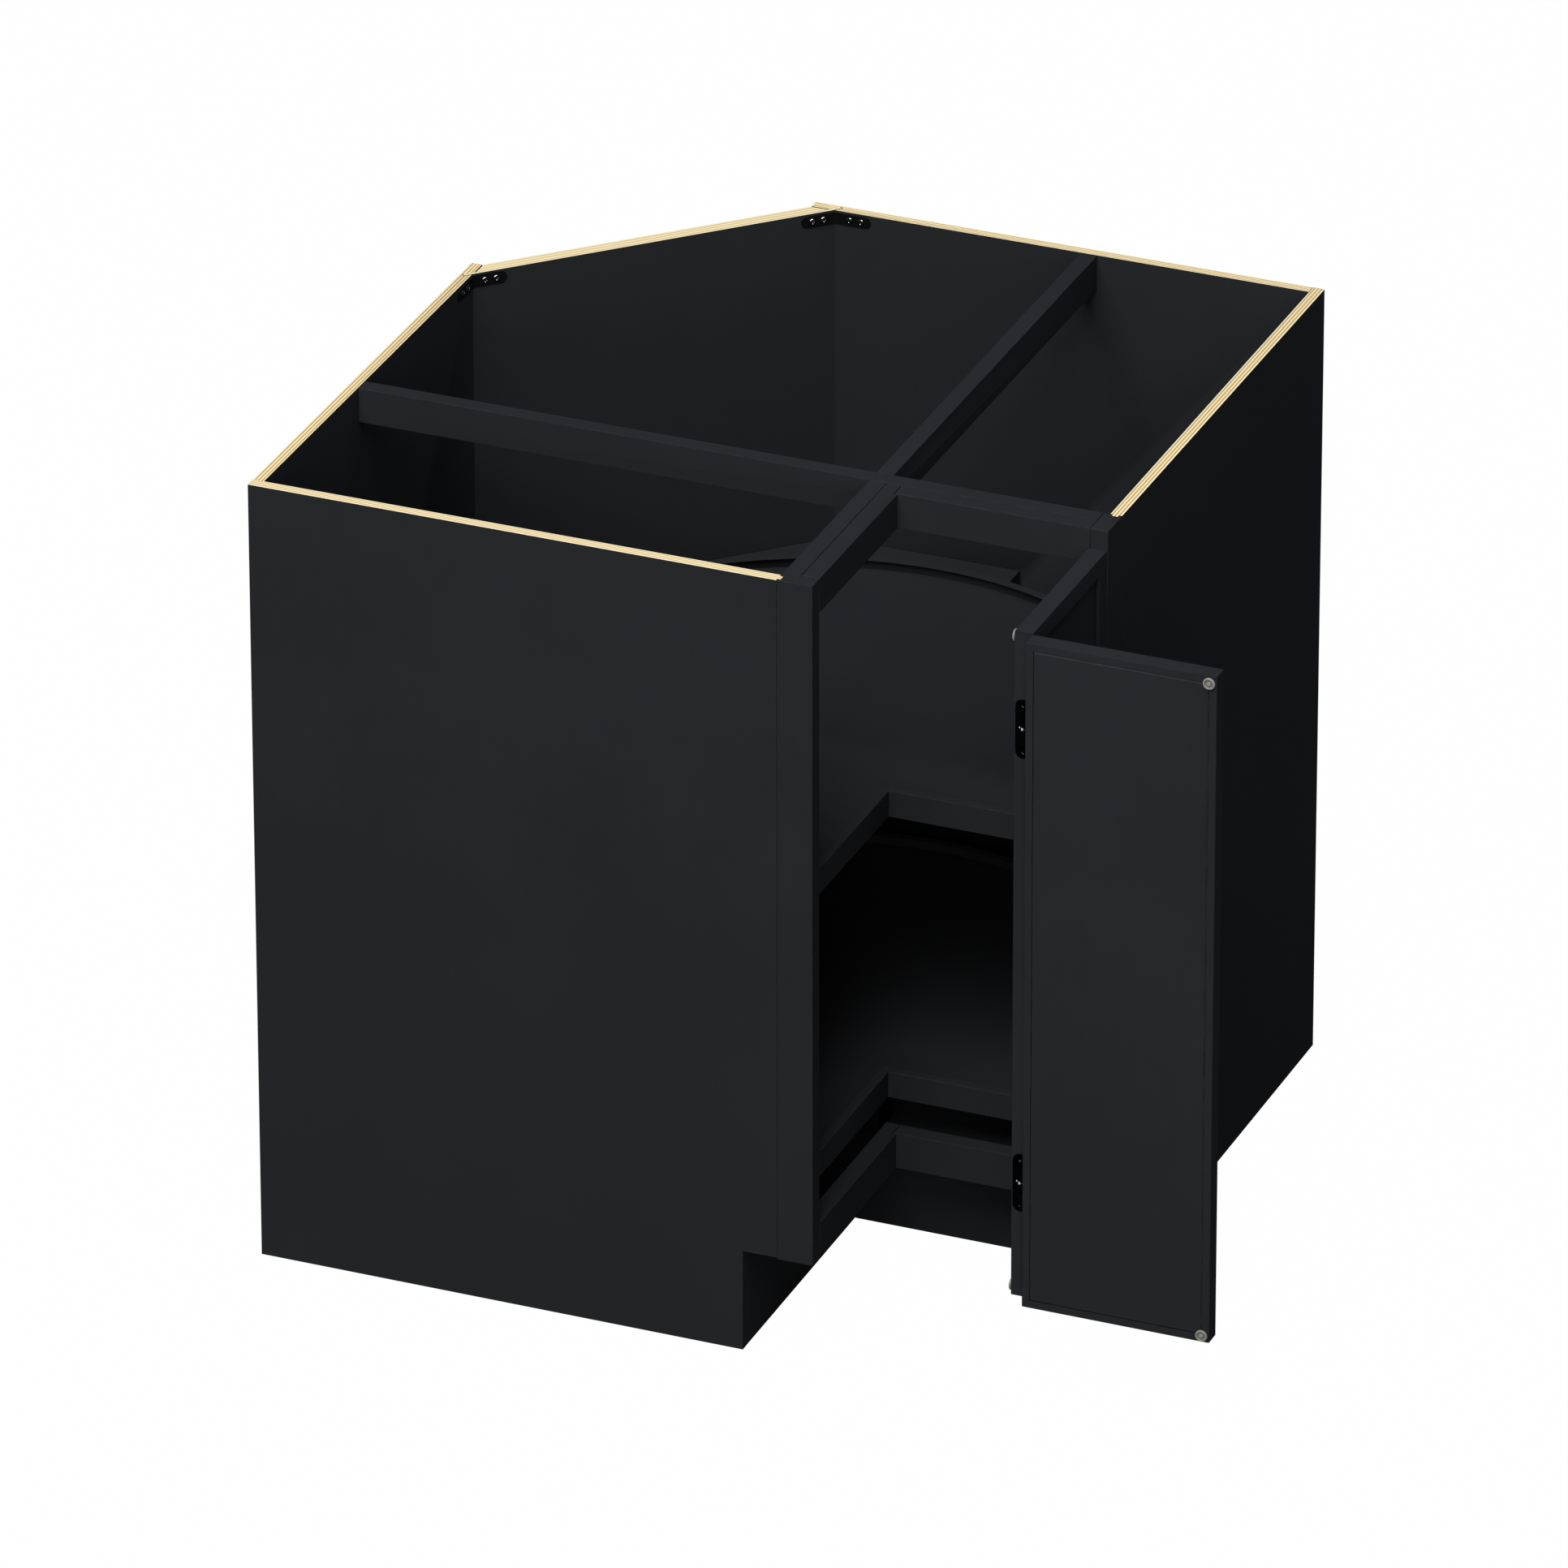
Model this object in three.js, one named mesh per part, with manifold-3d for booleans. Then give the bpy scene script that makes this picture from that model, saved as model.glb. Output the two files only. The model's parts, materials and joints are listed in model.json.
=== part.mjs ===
// Framed corner base cabinet with two pie-cut carousel trays and a bi-fold pair of slim-frame doors.
// Millimetres, +Z up. Inside this file x runs from the left back wall to the right, y from the left end
// panel to the back, and the finished group is moved so that its origin is the middle of its footprint.
// The doors are shown swung 90 degrees open, with the pair still square to each other.

import * as THREE from "three";
import { mergeVertices } from "three/addons/utils/BufferGeometryUtils.js";
import Module from "manifold-3d";

const wasm = await Module();
wasm.setup();

// ---- driving dimensions ----

// cabinet box: a square plan with a re-entrant corner at the front and a clipped corner at the back
const span = 835; // along each back wall, outside to outside
const depth = 609.6; // from a back wall's outer face to the face frame's front
const height = 876.3;
const wall = 12.7; // plywood end panels and back walls
const cornerClip = 310; // leg of the triangle that the diagonal back cuts off the square corner
const diagonalThickness = 18;
const splineThickness = 4; // tongue along the diagonal back's ends, flush with its inner face
const splineReach = 11;
const splineSlack = 1; // empty end of the groove past the tongue
const shoulderGap = 1; // between the rest of the diagonal's end and the wall
const grooveDepth = 4; // grooves that carry the deck and the fixed shelf
const fit = 0.3; // clearance between pieces that touch

// face frame
const stileWidth = 19.05;
const stileDepth = 38.1;
const railThickness = 19.05;
const topRailHeight = 38.1;
const bottomRailHeight = 40;
const frameBottom = 112;
const railHousing = 4.3; // how far the right rail is let into the left one
const panelTongue = 3.2; // end panel's front edge let into the stile
const frameSeam = 0.9; // open seams at the stretchers and at the right rails' housed ends

// toe space, deck and fixed shelf
const toeHeight = 114.3;
const toeRecess = 76.2;
const toeBoard = 12.7;
const deckThickness = 12.7;
const shelfTop = 499;
const shelfThickness = 19.05;
const shelfReach = 506; // how far the fixed shelf comes forward from each back wall
const riserClear = 14.55; // riser to the bottom rails
const riserBoard = 19.05;
const bearerHeight = 31.5;
const bearerWidth = 38.1;

// carousel trays
const trayClear = 15.7; // tray to each end panel
const trayBackClear = 63; // tray to the diagonal back
const rimThickness = 10.5; // straight lips, and the flange turned in at the top of the round rim
const rimWall = 3.5; // the round rim below its flange
const rimHeight = 29.5;
const rimFlange = 2.6; // flange's depth at the wall, thinned towards its free edge
const flangeEdge = 0.8;
const rimEdge = 1; // eased outer edge of the rim's top
const trayFloor = 12.7;
const floorDrop = 12.7; // rim's top down to the floor's top
const lipSetback = 15.2; // straight lips behind the face frame's front
const trayFacets = 96;

// ball swivel under each tray
const swivelPlate = 152.4;
const swivelHeight = 8.5;
const swivelSheet = 1.5;
const swivelBore = 46;
const swivelCorner = 10;
const swivelScrewHole = 2.6;
const swivelScrewInset = 10;
const ballTrack = 57;
const ballRadius = 2.5;
const ballCount = 14;
const grooveSlack = 0.6; // between a ball and its groove
const raceWidth = 10;
const raceFacets = 28;
const raceGap = 1.7; // between the lips of the two races
const cageSheet = 0.8;
const cageWidth = 8;

// door leaves
const leafThickness = 19.05;
const leafReveal = 20.3; // rail showing above a closed leaf
const leafGap = 4.5; // behind a closed leaf
const leafFrame = 20; // visible width of the frame's front
const leafLip = 4; // how deep the front is recessed
const leafStrip = 8; // width of the frame's edge seen from behind
const panelProud = 0.6;
const hingeEndClear = 2.5; // leaf's hinge end to the face frame, swung 90 degrees open
const hingeBackEase = 3;
const hingeFrontEase = 2;
const edgeEase = 1;
const foldGap = 0.4; // from the folding axis to each leaf's end

// frame hinges: cup in the leaf, cranked arm on the stile
const hingeFromTop = 106.5;
const hingeFromBottom = 129;
const cupRadius = 17.5;
const cupInset = 22;
const cupDepth = 12.7;
const cupWall = 1.2;
const cupFloor = 0.8;
const cupFacets = 28;
const cupFlange = 1.5;
const cupCollar = 2; // how far the flange stands out round the cup
const flangeWidth = 11;
const flangeScrewReach = 22.5;
const flangeTrim = 7.2; // flange's hinge side is cut straight this far from the leaf's end
const hingePin = 1.4;
const pinPlay = 0.3;
const barrelRadius = 2.8;
const armWidth = 10;
const armSheet = 2.4;
const armOffset = 6.5; // arm's middle line behind the open leaf
const mountPlateHeight = 44;
const mountPlateLength = 33;
const mountPlateFront = 3;
const hingeScrewHole = 2.3;

// folding hinges let into the ends of the two leaves
const foldPlateLength = 65.5;
const foldPlateWidth = 16;
const foldPlateSheet = 2.5;
const foldBodyLength = 40;
const foldBodyWidth = 13;
const foldBodyDepth = 14;
const foldSink = 0.2;
const linkMiddle = 9.5; // radius of the links' middle line about the folding axis
const linkSheet = 5;
const linkHeight = 6;
const linkPitch = 10;
const linkCount = 3;
const linkEngage = 55; // degrees of each link inside a leaf
const linkPlay = 0.4;
const linkEndPlay = 3; // degrees
const linkMouth = 12; // degrees the pocket is cut past the leaf's end
const linkPin = 2;

// small fittings
const bumperRadius = 6.35;
const bumperInset = 7.7;
const bumperHeight = 2.1;
const bumperRim = 0.8; // rolled edge
const bumperButton = 2.2; // radius of the raised middle
const bumperGroove = [4.2, 0.7]; // outer radius and depth of the ring round it
const bracketArms = { wall: 41, diagonal: 37.2 };
const bracketHeight = 12.8;
const bracketSheet = 1.2;
const bracketTopGap = 1.6;
const bracketScrews = { wall: [17.5, 30.2], diagonal: [12.6, 25.2] }; // from the bend
const bracketHole = 2.2;

// ---- places worked out from them ----

const frontPlane = span - depth; // y of the right face frame's front
const stileBack = depth - stileDepth;
const railBack = depth - railThickness;
const toeFace = depth - toeRecess;
const diagonal = span - cornerClip; // the diagonal's inner face is the line y = x + diagonal
const backWallEnd = wall + diagonal + diagonalThickness * Math.SQRT2;
const grooveInner = wall - grooveDepth;
const deckTop = toeHeight + deckThickness;
const cutOver = 1; // how far a cutter runs past what it cuts
const facets = { round: 24, small: 16, hole: 10 }; // flats round a turned or bored shape

// turning axis to each back wall's outer face, from the tray's clearances in front and behind
const trayInset = (span - wall - trayClear + trayBackClear + cornerClip / Math.SQRT2) / (1 + Math.SQRT2);
const trayAxis = [trayInset, span - trayInset];
const trayRadius = span - trayInset - wall - trayClear;
const lipPlane = depth - lipSetback;
const underFloor = rimHeight - floorDrop - trayFloor; // rim's bottom up to the floor's underside
const riserTop = deckTop + fit + bearerHeight + fit + riserBoard;

const leafSquare = depth + leafGap + leafThickness; // x of the closed left leaf's front
const leafLength = span - leafSquare - foldGap;
const leafBottom = frameBottom;
const leafTop = height - leafReveal;
const hingePivot = [
  span - (leafGap + leafThickness - hingeEndClear) / 2,
  frontPlane - (leafGap + leafThickness + hingeEndClear) / 2,
];
const foldAxis = [span, frontPlane - hingeEndClear - leafLength - foldGap];
const hingeHeights = { upper: leafTop - hingeFromTop, lower: leafBottom + hingeFromBottom };

// ---- solids ----

// a closed three.js geometry as a solid, with its faces turned out
function solid(geometry) {
  const bare = new THREE.BufferGeometry();
  bare.setAttribute("position", geometry.getAttribute("position"));
  bare.setIndex(geometry.index);
  const merged = mergeVertices(bare, 1e-4);
  const vertProperties = new Float32Array(merged.attributes.position.array);
  const triVerts = new Uint32Array(merged.index.array);
  const made = new wasm.Manifold(new wasm.Mesh({ numProp: 3, vertProperties, triVerts }));
  if (made.volume() > 0) return made;
  return new wasm.Manifold(new wasm.Mesh({ numProp: 3, vertProperties, triVerts: triVerts.reverse() }));
}

function geometryOf(shape) {
  const { vertProperties, triVerts } = shape.getMesh();
  const geometry = new THREE.BufferGeometry();
  geometry.setAttribute("position", new THREE.BufferAttribute(new Float32Array(vertProperties), 3));
  geometry.setIndex(new THREE.BufferAttribute(new Uint32Array(triVerts), 1));
  geometry.computeVertexNormals();
  return geometry;
}

function box(x, y, z) {
  const geometry = new THREE.BoxGeometry(x[1] - x[0], y[1] - y[0], z[1] - z[0]);
  geometry.translate((x[0] + x[1]) / 2, (y[0] + y[1]) / 2, (z[0] + z[1]) / 2);
  return solid(geometry);
}

function extruded(points, depthOf, holes = []) {
  const vectors = (list) => list.map(([x, y]) => new THREE.Vector2(x, y));
  const outline = new THREE.Shape(vectors(points));
  outline.holes = holes.map((hole) => new THREE.Path(vectors(hole)));
  return new THREE.ExtrudeGeometry(outline, { depth: depthOf, bevelEnabled: false });
}

// an outline in plan, raised from one height to another
function prism(points, z) {
  return solid(extruded(points, z[1] - z[0]).translate(0, 0, z[0]));
}

// an outline seen from the front, [across, up], running back from one depth to another
function slab(points, y, holes = []) {
  return solid(extruded(points, y[1] - y[0], holes).rotateX(Math.PI / 2).translate(0, y[1], 0));
}

// a profile of [radius, along] turned about the y axis
function turned(profile, segments) {
  const points = profile.map(([radius, along]) => new THREE.Vector2(radius, along));
  return solid(new THREE.LatheGeometry(points, segments));
}

function upright(profile, segments, [x, y], z) {
  return turned(profile, segments).rotate([90, 0, 0]).translate([x, y, z]);
}

function rod(radius, z, [x, y], segments = facets.round) {
  const geometry = new THREE.CylinderGeometry(radius, radius, z[1] - z[0], segments);
  geometry.rotateX(Math.PI / 2).translate(x, y, (z[0] + z[1]) / 2);
  return solid(geometry);
}

function arc([x, y], radius, from, to, steps) {
  return Array.from({ length: steps + 1 }, (_, step) => {
    const angle = THREE.MathUtils.degToRad(from + ((to - from) * step) / steps);
    return [x + radius * Math.cos(angle), y + radius * Math.sin(angle)];
  });
}

function roundedRectangle([x0, x1], [y0, y1], radii) {
  const [a, b, c, d] = radii; // from the low corner, anticlockwise
  return [
    ...arc([x0 + a, y0 + a], a, 180, 270, 5),
    ...arc([x1 - b, y0 + b], b, 270, 360, 5),
    ...arc([x1 - c, y1 - c], c, 0, 90, 5),
    ...arc([x0 + d, y1 - d], d, 90, 180, 5),
  ];
}

function circle(centre, radius, steps) {
  return arc(centre, radius, 0, 360, steps).slice(0, -1);
}

// a long outline with round ends, upright about its centre
function stadium(length, width, [x, y] = [0, 0]) {
  const radius = width / 2;
  const reach = length / 2 - radius;
  return [...arc([x, y + reach], radius, 0, 180, 12), ...arc([x, y - reach], radius, 180, 360, 12)];
}

// The two wings mirror each other across the cabinet's diagonal. "back" is measured forward from the
// wing's back wall, "side" inward from its end panel.
const wings = {
  left: (back, side) => [back, side],
  right: (back, side) => [span - side, span - back],
};

function wingBoard(wing, back, side, z) {
  const [x0, y0] = wings[wing](back[0], side[0]);
  const [x1, y1] = wings[wing](back[1], side[1]);
  return box([Math.min(x0, x1), Math.max(x0, x1)], [Math.min(y0, y1), Math.max(y0, y1)], z);
}

// ---- finishes ----

const finishes = {
  blackBoard: { color: 0x242529, roughness: 0.5, metalness: 0 },
  plywood: { color: 0xd9c08a, roughness: 0.6, metalness: 0 },
  blackSteel: { color: 0x15161a, roughness: 0.35, metalness: 0.9 },
  zincSteel: { color: 0xb9bcc0, roughness: 0.3, metalness: 1 },
  clearRubber: { color: 0xc9ced2, roughness: 0.2, metalness: 0 },
};

const cabinet = new THREE.Group();

function add(parent, name, shape, finish) {
  const mesh = new THREE.Mesh(geometryOf(shape), new THREE.MeshStandardMaterial(finishes[finish]));
  mesh.name = name;
  parent.add(mesh);
}

// ---- walls ----

// a square-ended band along the diagonal back, about the middle line of its tongue
function diagonalBand(thickness, beyond, z) {
  const middle = diagonal + (splineThickness / 2) * Math.SQRT2;
  const run = beyond / Math.SQRT2;
  const across = thickness / 2 / Math.SQRT2;
  const low = [wall - run, wall + middle - run];
  const high = [span - wall - middle + run, span - wall + run];
  return prism([
    [low[0] - across, low[1] + across], [low[0] + across, low[1] - across],
    [high[0] + across, high[1] - across], [high[0] - across, high[1] + across],
  ], z);
}

const fullHeight = [0, height];
const throughHeight = [-cutOver, height + cutOver];
const deckGroove = [toeHeight - fit, deckTop + fit];
const shelfGroove = [shelfTop - shelfThickness - fit, shelfTop + fit];

function endPanel(wing) {
  const edge = stileBack - fit;
  return wingBoard(wing, [0, edge], [0, wall], fullHeight)
    .add(wingBoard(wing, [edge - cutOver, stileBack + panelTongue], [wall / 4, wall * 3 / 4], fullHeight))
    .subtract(wingBoard(wing, [toeFace, depth], [-cutOver, wall + cutOver], [-cutOver, toeHeight]))
    .subtract(wingBoard(wing, [grooveInner, depth], [grooveInner, wall + cutOver], deckGroove));
}

function backWall(wing) {
  const inner = [grooveInner, wall + cutOver];
  return wingBoard(wing, [0, wall], [wall + fit, backWallEnd], fullHeight)
    .subtract(wingBoard(wing, inner, [0, backWallEnd + cutOver], deckGroove))
    .subtract(wingBoard(wing, inner, [span - shelfReach - fit, backWallEnd + cutOver], shelfGroove))
    .subtract(diagonalBand(splineThickness + 2 * fit, splineReach + splineSlack, throughHeight));
}

function diagonalPanel() {
  const near = wall + shoulderGap;
  const outer = diagonal + diagonalThickness * Math.SQRT2;
  const panel = prism([
    [near, near + diagonal], [span - near - diagonal, span - near],
    [span - near - outer, span - near], [near, near + outer],
  ], fullHeight).add(diagonalBand(splineThickness, splineReach, fullHeight));
  const groove = (z) => {
    const floor = diagonal + grooveDepth * Math.SQRT2;
    const front = diagonal - cutOver;
    return prism([[0, front], [span, span + front], [span, span + floor], [0, floor]], z);
  };
  return panel.subtract(groove(deckGroove)).subtract(groove(shelfGroove));
}

for (const wing of ["left", "right"]) {
  add(cabinet, `${wing}_end_panel`, endPanel(wing), "plywood");
  add(cabinet, `${wing}_back_wall`, backWall(wing), "plywood");
}
add(cabinet, "diagonal_back", diagonalPanel(), "plywood");

// ---- deck, shelf, toe boards and riser ----

const grooved = grooveInner + fit; // edge of a board that sits in the walls' grooves
const groovedDiagonal = diagonal + (grooveDepth - fit) * Math.SQRT2;

function deck() {
  const [beside, behind] = [stileWidth + fit, stileBack - fit];
  const front = railBack - fit;
  return prism([
    [grooved, grooved], [behind, grooved], [behind, beside], [front, beside],
    [front, span - front], [span - beside, span - front], [span - beside, span - behind],
    [span - grooved, span - behind], [span - grooved, span - grooved],
    [span - grooved - groovedDiagonal, span - grooved], [grooved, grooved + groovedDiagonal],
  ], [toeHeight, deckTop]);
}

function fixedShelf() {
  const near = span - shelfReach;
  return prism([
    [grooved, near], [shelfReach, near], [shelfReach, span - grooved],
    [span - grooved - groovedDiagonal, span - grooved], [grooved, grooved + groovedDiagonal],
  ], [shelfTop - shelfThickness, shelfTop]);
}

const toeTop = toeHeight - fit;
const toeCorner = span - toeFace;
add(cabinet, "bottom_deck", deck(), "blackBoard");
add(cabinet, "fixed_shelf", fixedShelf(), "blackBoard");
for (const [wing, end] of [["left", toeCorner + toeBoard], ["right", toeCorner - fit]]) {
  const board = wingBoard(wing, [toeFace - toeBoard, toeFace], [wall + fit, end], [0, toeTop]);
  add(cabinet, `${wing}_toe_board`, board, "blackBoard");
}

const riserHalf = railBack - riserClear - trayInset;
const riserX = [trayAxis[0] - riserHalf, trayAxis[0] + riserHalf];
const riserY = [trayAxis[1] - riserHalf, trayAxis[1] + riserHalf];
const bearerZ = [deckTop + fit, deckTop + fit + bearerHeight];
add(cabinet, "riser_board", box(riserX, riserY, [riserTop - riserBoard, riserTop]), "plywood");
add(cabinet, "riser_bearer_front", box(riserX, [riserY[0], riserY[0] + bearerWidth], bearerZ), "plywood");
add(cabinet, "riser_bearer_back", box(riserX, [riserY[1] - bearerWidth, riserY[1]], bearerZ), "plywood");

// ---- face frame and stretchers ----

function stile(wing) {
  const housing = [wall / 4 - fit, wall * 3 / 4 + fit];
  return wingBoard(wing, [stileBack, depth], [0, stileWidth], [frameBottom, height])
    .subtract(wingBoard(wing, [stileBack - cutOver, stileBack + panelTongue + fit], housing, throughHeight));
}

const besideStile = stileWidth + fit;

function leftRail(z) {
  const housing = box([depth - railHousing, depth + cutOver],
    [frontPlane - fit, span - railBack + cutOver], throughHeight);
  return wingBoard("left", [railBack, depth], [besideStile, span - railBack], z).subtract(housing);
}

function rightRail(z) {
  return wingBoard("right", [railBack, depth], [besideStile, span - depth + railHousing - frameSeam], z);
}

const topRail = [height - topRailHeight, height];
const bottomRail = [frameBottom, frameBottom + bottomRailHeight];

// the two stretchers are halved into each other where they cross
function stretcher(wing) {
  const strip = [stileBack, railBack - frameSeam];
  const crossing = [span - strip[1] - fit, span - strip[0] + fit];
  const halfway = height - topRailHeight / 2;
  const halving = wing === "left" ? [halfway - fit / 2, height + cutOver] : [0, halfway + fit / 2];
  return wingBoard(wing, strip, [stileWidth + frameSeam, span - wall - fit], topRail)
    .subtract(wingBoard(wing, [strip[0] - cutOver, strip[1] + cutOver], crossing, halving));
}

for (const wing of ["left", "right"]) {
  const rail = wing === "left" ? leftRail : rightRail;
  add(cabinet, `${wing}_stile`, stile(wing), "blackBoard");
  add(cabinet, `${wing}_top_rail`, rail(topRail), "blackBoard");
  add(cabinet, `${wing}_bottom_rail`, rail(bottomRail), "blackBoard");
  add(cabinet, `${wing}_stretcher`, stretcher(wing), "blackBoard");
}

// ---- corner brackets at the diagonal back ----

// one arm, lying along +x from the bend, with its face in the xz plane and its thickness along y
function bracketArmPlate(arm, thicknessSide) {
  const radius = bracketHeight / 2;
  const cap = arc([bracketArms[arm] - radius, 0], radius, -90, 90, 12);
  const outline = [[0, -radius], ...cap, [0, radius]];
  const holes = bracketScrews[arm].map((at) => circle([at, 0], bracketHole, facets.hole));
  return slab(outline, thicknessSide > 0 ? [0, bracketSheet] : [-bracketSheet, 0], holes);
}

function bracket(wing) {
  const [x, y] = wings[wing](wall + fit, wall + fit + diagonal - fit * Math.SQRT2);
  const [wallTurn, diagonalTurn, side] = wing === "left" ? [-90, 45, 1] : [0, 225, -1];
  return bracketArmPlate("wall", side).rotate([0, 0, wallTurn])
    .add(bracketArmPlate("diagonal", -side).rotate([0, 0, diagonalTurn]))
    .translate([x, y, height - bracketTopGap - bracketHeight / 2]);
}

add(cabinet, "left_corner_bracket", bracket("left"), "blackSteel");
add(cabinet, "right_corner_bracket", bracket("right"), "blackSteel");

// ---- carousel trays on ball swivels ----

const [axisX, axisY] = trayAxis;
const lipBack = lipPlane - rimThickness; // inner face of a straight lip

// everything forward of two planes that meet at a corner on the cabinet's diagonal
function notch(plane, z) {
  const beyond = span;
  return box([plane, plane + beyond], [span - plane - beyond, span - plane], z);
}

function trayRim(z) {
  const [low, high] = [0, z[1] - z[0]];
  const [outer, inner, free] = [trayRadius, trayRadius - rimWall, trayRadius - rimThickness];
  const ring = upright([
    [inner, low], [outer, low], [outer, high - rimEdge], [outer - rimEdge, high],
    [free, high], [free, high - flangeEdge], [inner, high - rimFlange], [inner, low],
  ], trayFacets, trayAxis, z[0]);
  return ring.subtract(notch(lipBack - fit, [z[0] - cutOver, z[1] + cutOver]));
}

function trayLip(wing, z) {
  const [reach, miter] = [span - lipPlane - trayRadius, fit / Math.SQRT2];
  const outline = [
    [lipPlane, reach], [lipPlane, span - lipPlane - miter],
    [lipBack, span - lipBack - miter], [lipBack, reach],
  ].map(([back, side]) => wings[wing](back, side));
  return prism(outline, z).intersect(rod(trayRadius, z, trayAxis, trayFacets));
}

function trayBase(z) {
  return rod(trayRadius - rimWall - fit, z, trayAxis, trayFacets)
    .subtract(notch(lipBack - fit, [z[0] - cutOver, z[1] + cutOver]));
}

const ballHeight = swivelHeight / 2;
const raceTop = ballHeight - raceGap / 2;

function swivelRace() {
  const half = swivelPlate / 2;
  const corner = swivelCorner;
  const plate = prism(roundedRectangle([-half, half], [-half, half], [corner, corner, corner, corner]),
    [0, swivelSheet]);
  const groove = ballRadius + grooveSlack;
  const mouth = THREE.MathUtils.radToDeg(Math.asin(raceGap / 2 / groove));
  const [inner, outer] = [ballTrack - raceWidth / 2, ballTrack + raceWidth / 2];
  const race = upright([
    [inner, 0], [outer, 0], [outer, raceTop],
    ...arc([ballTrack, ballHeight], groove, -mouth, mouth - 180, 4),
    [inner, raceTop], [inner, 0],
  ], raceFacets, [0, 0], 0);
  let made = plate.subtract(rod(swivelBore, [-cutOver, swivelHeight], [0, 0], raceFacets)).add(race);
  const at = half - swivelScrewInset;
  for (const [x, y] of [[at, at], [-at, at], [-at, -at], [at, -at]]) {
    made = made.subtract(rod(swivelScrewHole, [-cutOver, swivelHeight], [x, y], facets.hole));
  }
  return made;
}

function ballRing() {
  const [inner, outer] = [ballTrack - cageWidth / 2, ballTrack + cageWidth / 2];
  let ring = upright([
    [inner, -cageSheet / 2], [outer, -cageSheet / 2], [outer, cageSheet / 2],
    [inner, cageSheet / 2], [inner, -cageSheet / 2],
  ], raceFacets, [0, 0], 0);
  for (let ball = 0; ball < ballCount; ball += 1) {
    const angle = (ball / ballCount) * 2 * Math.PI;
    const sphere = new THREE.SphereGeometry(ballRadius, 6, 4);
    sphere.translate(ballTrack * Math.cos(angle), ballTrack * Math.sin(angle), 0);
    ring = ring.add(solid(sphere));
  }
  return ring;
}

// a tray whose swivel stands on a board with its top at the given height
function carousel(name, standing) {
  const swivelBase = standing + fit;
  const floorBottom = swivelBase + swivelHeight + fit;
  const rim = [floorBottom - underFloor, floorBottom - underFloor + rimHeight];
  add(cabinet, `${name}_tray_floor`, trayBase([floorBottom, floorBottom + trayFloor]), "blackBoard");
  add(cabinet, `${name}_tray_rim`, trayRim(rim), "blackBoard");
  for (const wing of ["left", "right"]) {
    add(cabinet, `${name}_tray_${wing}_lip`, trayLip(wing, rim), "blackBoard");
  }
  const place = [axisX, axisY, swivelBase];
  add(cabinet, `${name}_swivel_base`, swivelRace().translate(place), "zincSteel");
  const turnedOver = swivelRace().rotate([180, 0, 0]).rotate([0, 0, 45]);
  add(cabinet, `${name}_swivel_top`,
    turnedOver.translate([axisX, axisY, swivelBase + swivelHeight]), "zincSteel");
  add(cabinet, `${name}_swivel_balls`,
    ballRing().translate([axisX, axisY, swivelBase + ballHeight]), "zincSteel");
}

carousel("upper", shelfTop);
carousel("lower", riserTop);

// ---- door leaves ----

// A leaf stands in its own frame: x from its hinged end to its far end, y from its back to its front.
const leafEnds = [0, leafLength];
const leafHeights = [leafBottom, leafTop];
const recessFloor = leafThickness - leafLip;

function leafEnvelope(hingeEases) {
  const [back, front] = hingeEases;
  return prism(roundedRectangle(leafEnds, [0, leafThickness], [back, edgeEase, edgeEase, front]),
    leafHeights);
}

// an L-section frame member lying along one edge, mitred at both ends
function leafMember(edge, envelope) {
  const standing = edge === "hinge" || edge === "far";
  const low = edge === "hinge" || edge === "bottom";
  const [along, across] = standing ? [leafHeights, leafEnds] : [leafEnds, leafHeights];
  const place = (run, cross) => (standing ? [cross, run] : [run, cross]);
  const layer = (width, y) => {
    const strip = low ? [across[0], across[0] + width] : [across[1] - width, across[1]];
    const [x, z] = place(along, strip);
    return box(x, y, z);
  };
  const section = layer(leafStrip, [0, leafThickness]).add(layer(leafFrame, [recessFloor, leafThickness]));
  const mitre = fit / Math.SQRT2;
  const reach = leafFrame + cutOver;
  const [edgeAt, innerAt] = low ? [across[0], across[0] + reach] : [across[1], across[1] - reach];
  const corners = [
    place(along[0] + mitre, edgeAt), place(along[1] - mitre, edgeAt),
    place(along[1] - mitre - reach, innerAt), place(along[0] + mitre + reach, innerAt),
  ];
  return section.intersect(slab(corners, [-cutOver, leafThickness + cutOver])).intersect(envelope);
}

function leafPanel() {
  const edge = leafStrip + fit;
  return box([edge, leafLength - edge], [-panelProud, recessFloor - fit],
    [leafBottom + edge, leafTop - edge]);
}

// bore for a hinge cup, from the back
function cupBore(z) {
  const radius = cupRadius + fit;
  return turned([[0, -cutOver - panelProud], [radius, -cutOver - panelProud],
    [radius, cupDepth + fit], [0, cupDepth + fit]], cupFacets).translate([cupInset, 0, z]);
}

// The folding hinge at one end of a leaf. "end" is the end's x and "inward" points into the leaf.
function foldBlank(end, inward, z, play) {
  const along = (from, to) => [Math.min(end + inward * from, end + inward * to),
    Math.max(end + inward * from, end + inward * to)];
  const middle = leafThickness / 2;
  const reach = foldBodyLength / 2 + play;
  const half = foldBodyWidth / 2 + play;
  const plate = extruded(stadium(foldPlateLength + 2 * play, foldPlateWidth + 2 * play),
    foldPlateSheet + 2 * play);
  // stand the plate's face square to the leaf's length
  plate.rotateX(Math.PI / 2).rotateZ(Math.PI / 2);
  const [low] = along(play ? -play : foldSink, foldSink + foldPlateSheet);
  plate.translate(low, middle, z);
  return solid(plate).add(box(along(foldSink + cutOver, foldBodyDepth + play),
    [middle - half, middle + half], [z - reach, z + reach]));
}

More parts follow.
